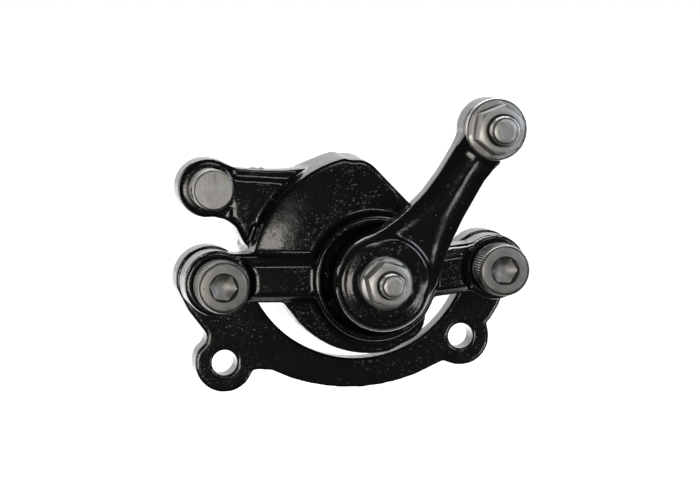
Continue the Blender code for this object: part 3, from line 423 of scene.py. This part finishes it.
def plated(name, middle, light, dark, roughness, rings=0.5, brushed=0.0):
    """Plated steel turned about its own axis: rings, handling marks and a cloudy plate."""
    finish = Finish(name, roughness, 1.0)
    reach = finish.reach(middle)
    turning = finish.node("ShaderNodeCombineXYZ", None,
                          {"X": reach * 5200.0, "Y": finish.noise(120.0) * 0.8}).outputs[0]
    lines = finish.noise(1.0, 3.0, turning)
    streaks = finish.noise(1.0, 3.0, finish.centred(middle, (3600.0, 900.0, 170.0)))
    cloud = finish.noise(330.0, 4.0, rough=0.6)
    grain = finish.noise(3600.0, 2.0)
    nicks = finish.spots(900.0, 0.16) * finish.noise(240.0).between(0.5, 0.62)
    marks = lines * rings + streaks * brushed + grain * 0.25
    finish.bump(marks - nicks * 0.5, 0.00004, 0.7)
    finish.set("Base Color", finish.colour(
        finish.colour(dark, light, (cloud * 0.7 + marks * 0.45).between(0.2, 0.95)),
        tuple(value * 0.45 for value in dark), nicks))
    finish.set("Roughness", roughness + cloud * 0.18 - 0.06 + nicks * 0.2)
    return finish.material


def lining_mix():
    """Pressed friction material with metal flecks."""
    finish = Finish("friction_lining", 0.9, 0.0)
    grain = finish.noise(1900.0, 4.0)
    flecks = finish.spots(1300.0, 0.24)
    finish.set("Base Color", finish.colour(
        finish.colour((0.05, 0.04, 0.035), (0.13, 0.10, 0.08), grain),
        (0.45, 0.33, 0.20), flecks * 0.8))
    finish.set("Metallic", flecks * 0.8)
    finish.set("Roughness", 0.95 - flecks * 0.5)
    finish.bump(grain - flecks * 0.3, 0.00012, 0.8)
    return finish.material


def black_rubber():
    finish = Finish("black_rubber", 0.7, 0.0)
    grain = finish.noise(2600.0, 3.0)
    finish.set("Base Color", finish.colour((0.012, 0.012, 0.012), (0.035, 0.035, 0.034), grain))
    finish.set("Roughness", 0.6 + grain * 0.2)
    finish.bump(grain, 0.00003, 0.6)
    return finish.material


# ---- settings ------------------------------------------------------------------------------------
class CaliperCastingSettings(bpy.types.PropertyGroup):
    voxel: FloatProperty(name="Skin size", description="Face size of the cast skins",
                         default=0.00042, unit="LENGTH")
    rounds: IntProperty(name="Edge rounding", description="How far the cast edges are rounded",
                        default=6, min=0)
    waviness: FloatProperty(name="Waviness", description="Height of the slow waves in cast faces",
                            default=0.00007, unit="LENGTH")
    paint_colour: FloatVectorProperty(name="Paint", description="Colour of the paint",
                                      default=(0.004, 0.004, 0.0045), subtype="COLOR")
    paint_roughness: FloatProperty(name="Paint roughness", description="Lowest paint roughness",
                                   default=0.10, subtype="FACTOR")


class CaliperFastenerSettings(bpy.types.PropertyGroup):
    key_flats: FloatProperty(name="Key size", description="Hexagon socket across its flats",
                             default=0.0060, unit="LENGTH")
    key_turn: FloatProperty(name="Key turn", description="How far each socket is turned",
                            default=math.radians(20), subtype="ANGLE")
    teeth: IntProperty(name="Knurl teeth", description="Teeth round a cap screw's head", default=64)
    pitch: FloatProperty(name="Thread pitch", description="Pitch of the studs' threads",
                         default=0.0009, unit="LENGTH")
    grey: FloatVectorProperty(name="Cap screw plate", description="Colour of the cap screws",
                              default=(0.36, 0.355, 0.34), subtype="COLOR")
    bright: FloatVectorProperty(name="Nut plate", description="Colour of the nuts and studs",
                                default=(0.54, 0.535, 0.52), subtype="COLOR")


class CaliperStageSettings(bpy.types.PropertyGroup):
    distance: FloatProperty(name="Camera distance", description="From the camera to its aim",
                            default=0.73848, unit="LENGTH")
    lens: FloatProperty(name="Lens", description="Focal length in millimetres", default=153.07)
    drop: FloatProperty(name="Floor drop", description="From the object down to the floor",
                        default=0.16, unit="LENGTH")


# ---- castings ------------------------------------------------------------------------------------
class CALIPER_OT_bracket(bpy.types.Operator):
    """Casts the mounting bracket"""
    bl_idname = "caliper.bracket"
    bl_label = "Mounting Bracket"

    def execute(self, context):
        cast = context.scene.caliper_castings
        bm = casting("mounting_bracket", cast.voxel, cast.rounds, cast.waviness)
        add_piece("bracket_casting", bm, "mounting_bracket",
                  cast_paint("bracket_paint", 0.35, cast), 60)
        return {"FINISHED"}


def crown_dome(bm):
    """The dome's face is a little crowned, so it falls away from the drum to its rim."""
    middle = Place("pivot_nut").middle
    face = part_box("front_housing")[0][1] + DOME_STEP
    for vert in bm.verts:
        out = math.hypot(vert.co.x - middle[0], vert.co.z - middle[1]) - DRUM_REACH
        if out > 0 and abs(vert.co.y - face) < 0.0006 and vert.co.z > middle[1] + 0.004:
            side = max(0.0, vert.co.x - middle[0] - 0.004)
            vert.co.y += 0.0010 * (out / 0.0135) ** 2 + 6.0 * side ** 2


def arm_panel(pin):
    """The raised panel on the cable stop's arm, below its top edge."""
    corners = ((6.9, 1.9), (19.7, 0.5), (12.9, -7.2), (10.4, -10.6), (9.3, -13.4), (8.4, -12.4),
               (7.3, -9.8), (5.3, -7.5), (5.8, -4.5))
    return [(pin.middle[0] + x * 0.001, pin.middle[1] + z * 0.001) for x, z in corners]


class CALIPER_OT_housings(bpy.types.Operator):
    """Casts the front housing with its arm, ears and drum, and the rear housing"""
    bl_idname = "caliper.housings"
    bl_label = "Housings"

    def execute(self, context):
        cast = context.scene.caliper_castings
        pin = Place("cable_stop_pin")
        x, z = pin.middle
        arm_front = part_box("front_housing")[0][1] + ARM_STEP
        flash = [lump(x + 0.0120, arm_front + 0.0035, z + 0.0040, 0.0007, (1.6, 1.2, 0.8)),
                 lump(x + 0.0141, arm_front + 0.0042, z + 0.0039, 0.0005, (1.5, 1.0, 1.0)),
                 lump(x - 0.0030, arm_front + 0.0060, z - 0.0066, 0.0005, (1.8, 1.0, 0.7))]
        panel = slab(arm_panel(pin), arm_front - 0.0008, arm_front + 0.0020)
        bm = casting("front_housing", cast.voxel, cast.rounds, cast.waviness, [*flash, panel])
        crown_dome(bm)
        paint = cast_paint("housing_paint", 1.0, cast)
        add_piece("front_casting", bm, "front_housing", paint, 60)
        bm = casting("rear_housing", cast.voxel, cast.rounds, cast.waviness)
        add_piece("rear_casting", bm, "rear_housing", paint, 60)
        return {"FINISHED"}


def round_lever(bm, pivot, boss):
    """Rounds the lever's front over to its sides, most along the arm, and steps the hub's face."""
    bm.normal_update()
    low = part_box("lever_arm")[0][1]
    start = Vector((pivot.middle[0], 0, pivot.middle[1]))
    reach = Vector((boss.middle[0], 0, boss.middle[1])) - start
    along = reach.normalized()

    def flat(vert):
        return Vector((vert.co.x, 0, vert.co.z)) - start

    rim = [flat(vert) for vert in bm.verts
           if abs(vert.normal.y) < 0.35 and vert.co.y < low + 0.004
           and flat(vert).length > 0.006 and (flat(vert) - reach).length > 0.0055]
    tree = kdtree.KDTree(len(rim))
    for index, point in enumerate(rim):
        tree.insert(point, index)
    tree.balance()
    for vert in bm.verts:
        front = 1.0 - (vert.co.y - low) / LEVER_DEPTH
        if front <= 0:
            continue
        place = flat(vert)
        inward = tree.find(place)[2]
        arm = min(1.0, max(0.0, (place.dot(along) + 0.002) / 0.024))
        width = 0.0017 + 0.0050 * arm
        depth = 0.0006 + 0.0015 * arm
        depth *= min(1.0, max(0.0, ((place - reach).length - 0.0074) / 0.002))
        step = 0.00025 * min(1.0, max(0.0, (place.length - 0.0088) / 0.0003))
        step *= max(0.0, 1.0 - arm * 1.4)
        vert.co.y += (depth * max(0.0, 1.0 - inward / width) ** 2 + step) * front


class CALIPER_OT_lever(bpy.types.Operator):
    """Casts the lever"""
    bl_idname = "caliper.lever"
    bl_label = "Lever"

    def execute(self, context):
        cast = context.scene.caliper_castings
        bm = remeshed(node_mesh("lever_arm"), cast.voxel * 0.86)
        round_lever(bm, Place("pivot_nut"), Place("clamp_nut"))
        soften(bm, cast.rounds)
        ripple(bm, cast.waviness * 2.2, 0.008)
        add_piece("lever_casting", bm, "lever_arm", cast_paint("lever_paint", 0.5, cast),
                  60)
        return {"FINISHED"}


# ---- fasteners -----------------------------------------------------------------------------------
def cap_screw(place, head_back, shank, settings, turn):
    """A socket cap screw: keyed face, rounded rim, straight knurl and shank."""
    key = settings.key_flats
    front, radius = place.front, place.radius
    socket = hexagonal(key, turn)
    mouth = key / 2 / math.cos(HALF_SIDE) * 1.04
    grip = knurled(radius, settings.teeth, KNURL_DEPTH)
    levels = [
        (POLE, front + 0.0030), (key * 0.36, front + 0.0022), (socket, front + 0.0019),
        (socket, front + 0.0004), (mouth, front), (radius - 0.00115, front),
        (radius - 0.00075, front + 0.00008), (radius - 0.00040, front + 0.00032),
        (radius - 0.00030, front + 0.00060), (radius - 0.00030, front + 0.0010),
        (grip, front + 0.0012), (grip, head_back - 0.0009), (radius - 0.0004, head_back - 0.0005),
        (radius - 0.0006, head_back), (shank, head_back), (shank, place.back - 0.0006),
        (shank - 0.0006, place.back), (POLE, place.back)]
    return turned(levels, settings.teeth * 6, place.middle)


class CALIPER_OT_guide_screws(bpy.types.Operator):
    """Turns the two knurled cap screws, their washers and their sleeves"""
    bl_idname = "caliper.guide_screws"
    bl_label = "Guide Screws"

    def execute(self, context):
        settings = context.scene.caliper_fasteners
        grey = tuple(settings.grey)
        dark = tuple(value * 0.55 for value in grey)
        for side, turn in (("left", 0.0), ("right", 0.12)):
            place = Place("guide_screw_" + side)
            head_back = Place("guide_washer_" + side).front - 0.0003
            shank = Place("guide_sleeve_" + side).radius - 0.0016
            steel = plated("cap_screw_plate_" + side, place.middle, grey, dark, 0.36, 0.35)
            bm = cap_screw(place, head_back, min(shank, 0.003), settings, settings.key_turn + turn)
            add_piece("cap_screw_" + side, bm, "guide_screw_" + side, steel, 28)
            eased("guide_washer_" + side, 0.00015, 2, steel)
            eased("guide_sleeve_" + side, 0.0003, 2, steel)
        return {"FINISHED"}


def flange_nut(place, flats, flange, bore, turn, top):
    """A hexagon nut with chamfered corners on its round flange."""
    front, back = place.front, place.back
    start = flats * 0.485
    outline = hexagonal(flats, turn)

    def corner(angle):
        return front + max(0.0, outline(angle) - start) * 0.4

    def foot(angle):
        return outline(angle) + 0.00025

    levels = [
        (bore, back), (bore, front + 0.0005), (bore + 0.0005, front), (start, front),
        (outline, corner), (outline, top - 0.0004),
        (foot, top), (flange - 0.0005, top + 0.0001),
        (flange - 0.00015, top + 0.0003), (flange, top + 0.0006), (flange, back - 0.0002),
        (flange - 0.0002, back), (bore, back)]
    return turned(levels, 96, place.middle)


def threaded(node, radius, start, settings, nut, material):
    """A copy of a shaft whose plain front end is swapped for a thread on its nut's axis."""
    place = Place(node)
    bm = node_mesh(node)
    bmesh.ops.bisect_plane(bm, geom=bm.verts[:] + bm.edges[:] + bm.faces[:], dist=1e-7,
                           plane_co=(0, start, 0), plane_no=(0, -1, 0), clear_outer=True)
    bmesh.ops.holes_fill(bm, edges=bm.edges, sides=0)
    levels = thread_levels(radius, place.front, start, settings.pitch, settings.pitch * 0.55)
    merged(bm, turned(levels, 48, Place(nut).middle))
    add_piece(node + "_threaded", bm, node, material, 35)


class CALIPER_OT_lever_fasteners(bpy.types.Operator):
    """Makes the lever's flange nuts, threaded studs and cable clamp"""
    bl_idname = "caliper.lever_fasteners"
    bl_label = "Lever Fasteners"

    def execute(self, context):
        settings = context.scene.caliper_fasteners
        light = tuple(settings.bright)
        dark = tuple(value * 0.62 for value in light)
        pivot = Place("pivot_nut")
        clamp = Place("clamp_nut")
        zinc = plated("pivot_nut_plate", pivot.middle, light, dark, 0.34, 0.4)
        bm = flange_nut(pivot, 0.010, pivot.radius, 0.0031, math.radians(11), pivot.back - 0.0014)
        add_piece("pivot_flange_nut", bm, "pivot_nut", zinc, 24)
        threaded("cam_shaft", 0.0030, pivot.front + 0.0006, settings, "pivot_nut", zinc)
        zinc = plated("clamp_nut_plate", clamp.middle, light, dark, 0.34, 0.4)
        bm = flange_nut(clamp, 0.0109, clamp.radius, 0.0036, math.radians(48), clamp.back - 0.0017)
        add_piece("clamp_flange_nut", bm, "clamp_nut", zinc, 24)
        threaded("clamp_bolt", 0.0035, clamp.front + 0.0012, settings, "clamp_nut", zinc)
        eased("clamp_washer", 0.00015, 2, zinc)
        return {"FINISHED"}


class CALIPER_OT_cable_stop(bpy.types.Operator):
    """Makes the swivelling cable stop and its clip"""
    bl_idname = "caliper.cable_stop"
    bl_label = "Cable Stop"

    def execute(self, context):
        place = Place("cable_stop_pin")
        steel = plated("stop_pin_steel", place.middle, (0.46, 0.455, 0.44), (0.27, 0.265, 0.255),
                       0.34, 0.05, 0.8)
        eased("cable_stop_pin", 0.0003, 3, steel)
        eased("stop_pin_clip", 0.0001, 2, steel)
        return {"FINISHED"}


class CALIPER_OT_spring(bpy.types.Operator):
    """Makes the lever's return spring"""
    bl_idname = "caliper.spring"
    bl_label = "Return Spring"

    def execute(self, context):
        place = Place("return_spring")
        steel = plated("spring_steel", place.middle, (0.30, 0.30, 0.30), (0.16, 0.16, 0.16), 0.3)
        eased("return_spring", 0.0, 1, steel, levels=1)
        return {"FINISHED"}


class CALIPER_OT_rear_hardware(bpy.types.Operator):
    """Makes the body screws and the pad adjuster with its lock nut"""
    bl_idname = "caliper.rear_hardware"
    bl_label = "Rear Hardware"

    def execute(self, context):
        settings = context.scene.caliper_fasteners
        grey = tuple(settings.grey)
        dark = tuple(value * 0.55 for value in grey)
        for node in ("body_screw_upper", "body_screw_lower", "adjuster_screw", "adjuster_locknut"):
            steel = plated(node + "_plate", Place(node).middle, grey, dark, 0.32, 0.5)
            eased(node, 0.00025, 2, steel)
        return {"FINISHED"}


class CALIPER_OT_pads(bpy.types.Operator):
    """Makes the brake pads"""
    bl_idname = "caliper.pads"
    bl_label = "Brake Pads"

    def execute(self, context):
        lining = lining_mix()
        for side in ("moving", "fixed"):
            plate = side + "_pad_plate"
            steel = plated(plate + "_steel", Place(plate).middle, (0.36, 0.35, 0.33),
                           (0.2, 0.19, 0.18), 0.45, 0.1, 0.5)
            eased(plate, 0.0002, 2, steel)
            eased(side + "_pad_lining", 0.0003, 2, lining)
        return {"FINISHED"}


class CALIPER_OT_mechanism(bpy.types.Operator):
    """Makes the ball ramp and the pusher inside the drum"""
    bl_idname = "caliper.mechanism"
    bl_label = "Ball Ramp"

    def execute(self, context):
        middle = Place("pusher_piston").middle
        steel = plated("mechanism_steel", middle, (0.62, 0.62, 0.62), (0.42, 0.42, 0.41), 0.2)
        for node in ("thrust_washer", "ball_cage", "pusher_piston", "piston_key"):
            eased(node, 0.00015, 2, steel)
        for number in (1, 2, 3):
            eased("ramp_ball_%d" % number, 0.0, 1, steel, levels=1)
        rubber = black_rubber()
        for node in ("shaft_seal", "piston_seal"):
            eased(node, 0.0001, 2, rubber)
        return {"FINISHED"}


# ---- stage ---------------------------------------------------------------------------------------
WHITE = (1.0, 1.0, 1.0)
LIGHTS = (                   # name, place, width and height, watts, colour
    ("top_light", (0.05, 0.40, 0.70), (0.8, 0.5), 6.0, WHITE),
    ("left_light", (-0.75, 0.35, 0.20), (0.4, 0.7), 2.5, (1.0, 0.97, 0.92)),
    ("right_light", (0.75, 0.35, 0.30), (0.4, 0.7), 2.0, (0.93, 0.97, 1.0)),
    ("warm_card", (-0.24, -0.88, -0.04), (0.46, 0.22), 1.9, (1.0, 0.955, 0.88)),
    ("cool_card", (0.46, -0.72, 0.16), (0.20, 0.20), 0.7, (0.84, 0.92, 1.0)),
    ("low_card", (0.42, -0.78, -0.20), (0.20, 0.12), 0.35, WHITE),
    ("high_card", (0.16, -0.80, 0.42), (0.30, 0.12), 0.5, WHITE))


def soft_light(name, place, size, power, colour):
    """Hangs a rectangular light that faces the caliper."""
    drop_piece(name)
    data = bpy.data.lights.new(name, "AREA")
    data.shape = "RECTANGLE"
    data.size, data.size_y = size
    data.energy = power
    data.color = colour
    lamp = bpy.data.objects.new(name, data)
    bpy.context.scene.collection.objects.link(lamp)
    away = Vector(place) - Vector(LIGHT_AIM)
    turn = away.to_track_quat("Z", "Y").to_matrix().to_4x4()
    lamp.matrix_world = Matrix.Translation(place) @ turn


def aim_camera(settings):
    """Sets the camera up to the left of the caliper's face and just above it."""
    drop_piece("camera")
    data = bpy.data.cameras.new("camera")
    data.lens = settings.lens
    data.sensor_width = SENSOR_WIDTH
    data.clip_start = 0.01
    azimuth, elevation, roll = (math.radians(value) for value in CAMERA_DEGREES)
    level = math.cos(elevation)
    back = Vector((math.sin(azimuth) * level, -math.cos(azimuth) * level, math.sin(elevation)))
    right = (-back).cross(Vector((0, 0, 1))).normalized()
    up = right.cross(-back)
    side = right * math.cos(roll) + up * math.sin(roll)
    top = up * math.cos(roll) - right * math.sin(roll)
    aim = Vector(CAMERA_AIM)
    turn = Matrix((side, top, back)).transposed().to_4x4()
    camera = bpy.data.objects.new("camera", data)
    camera.matrix_world = Matrix.Translation(aim + back * settings.distance) @ turn
    bpy.context.scene.collection.objects.link(camera)
    bpy.context.scene.camera = camera


def pale_room():
    """A white room that is darker behind the camera."""
    world = bpy.data.worlds.new("pale_room")
    world.use_nodes = True
    tree = world.node_tree
    background = tree.nodes["Background"]
    place = tree.nodes.new("ShaderNodeTexCoord")
    split = tree.nodes.new("ShaderNodeSeparateXYZ")
    ramp = tree.nodes.new("ShaderNodeMapRange")
    ramp.inputs["From Min"].default_value = 0.08
    ramp.inputs["From Max"].default_value = 0.70
    ramp.inputs["To Min"].default_value = 0.035
    ramp.inputs["To Max"].default_value = 0.90
    rays = tree.nodes.new("ShaderNodeLightPath")
    seen = tree.nodes.new("ShaderNodeMath")
    seen.operation = "MAXIMUM"
    tree.links.new(place.outputs["Generated"], split.inputs[0])
    tree.links.new(split.outputs["Y"], ramp.inputs["Value"])
    tree.links.new(ramp.outputs["Result"], seen.inputs[0])
    tree.links.new(rays.outputs["Is Camera Ray"], seen.inputs[1])
    tree.links.new(seen.outputs[0], background.inputs["Strength"])
    background.inputs["Color"].default_value = (1.0, 1.0, 1.0, 1.0)
    bpy.context.scene.world = world


class CALIPER_OT_stage(bpy.types.Operator):
    """Sets the floor, the soft lights and the camera"""
    bl_idname = "caliper.stage"
    bl_label = "Stage"

    def execute(self, context):
        settings = context.scene.caliper_stage
        low = CAD_BOX[0]
        drop_piece("floor")
        bm = bmesh.new()
        bmesh.ops.create_grid(bm, x_segments=1, y_segments=1, size=FLOOR_HALF)
        place = (0, FLOOR_START + FLOOR_HALF, low[2] - settings.drop)
        bmesh.ops.translate(bm, verts=bm.verts, vec=place)
        mesh = bpy.data.meshes.new("floor")
        bm.to_mesh(mesh)
        bm.free()
        finish = Finish("pale_floor", 0.8, 0.0)
        finish.set("Base Color", finish.colour((0.90, 0.90, 0.90), (0.94, 0.94, 0.94),
                                               finish.noise(3.0)))
        finish.shader.inputs["Emission Color"].default_value = (1.0, 1.0, 1.0, 1.0)
        finish.shader.inputs["Emission Strength"].default_value = 1.0
        mesh.materials.append(finish.material)
        floor = bpy.data.objects.new("floor", mesh)
        context.scene.collection.objects.link(floor)
        for name, place, size, power, colour in LIGHTS:
            soft_light(name, place, size, power, colour)
        pale_room()
        aim_camera(settings)
        context.scene.view_settings.view_transform = "Standard"
        return {"FINISHED"}


# ---- panel ---------------------------------------------------------------------------------------
OPERATORS = (CALIPER_OT_bracket, CALIPER_OT_housings, CALIPER_OT_lever, CALIPER_OT_guide_screws,
             CALIPER_OT_lever_fasteners, CALIPER_OT_cable_stop, CALIPER_OT_spring,
             CALIPER_OT_rear_hardware, CALIPER_OT_pads, CALIPER_OT_mechanism, CALIPER_OT_stage)


class CALIPER_PT_pieces(bpy.types.Panel):
    bl_idname = "CALIPER_PT_pieces"
    bl_label = "Disc Brake Caliper"
    bl_space_type = "VIEW_3D"
    bl_region_type = "UI"
    bl_category = "Caliper"

    def draw(self, context):
        scene = context.scene
        for settings in (scene.caliper_castings, scene.caliper_fasteners, scene.caliper_stage):
            box = self.layout.box()
            for name in settings.bl_rna.properties.keys():
                if name not in ("rna_type", "name"):
                    box.prop(settings, name)
        for operator in OPERATORS:
            self.layout.operator(operator.bl_idname)


CLASSES = (CaliperCastingSettings, CaliperFastenerSettings, CaliperStageSettings, *OPERATORS,
           CALIPER_PT_pieces)


def register():
    for cls in CLASSES:
        bpy.utils.register_class(cls)
    bpy.types.Scene.caliper_castings = PointerProperty(type=CaliperCastingSettings)
    bpy.types.Scene.caliper_fasteners = PointerProperty(type=CaliperFastenerSettings)
    bpy.types.Scene.caliper_stage = PointerProperty(type=CaliperStageSettings)


def unregister():
    del bpy.types.Scene.caliper_stage
    del bpy.types.Scene.caliper_fasteners
    del bpy.types.Scene.caliper_castings
    for cls in reversed(CLASSES):
        bpy.utils.unregister_class(cls)


def main():
    register()
    bpy.ops.caliper.stage()
    bpy.ops.caliper.bracket()
    bpy.ops.caliper.housings()
    bpy.ops.caliper.lever()
    bpy.ops.caliper.guide_screws()
    bpy.ops.caliper.lever_fasteners()
    bpy.ops.caliper.cable_stop()
    bpy.ops.caliper.spring()
    bpy.ops.caliper.rear_hardware()
    bpy.ops.caliper.pads()
    bpy.ops.caliper.mechanism()


if __name__ == "__main__":
    main()
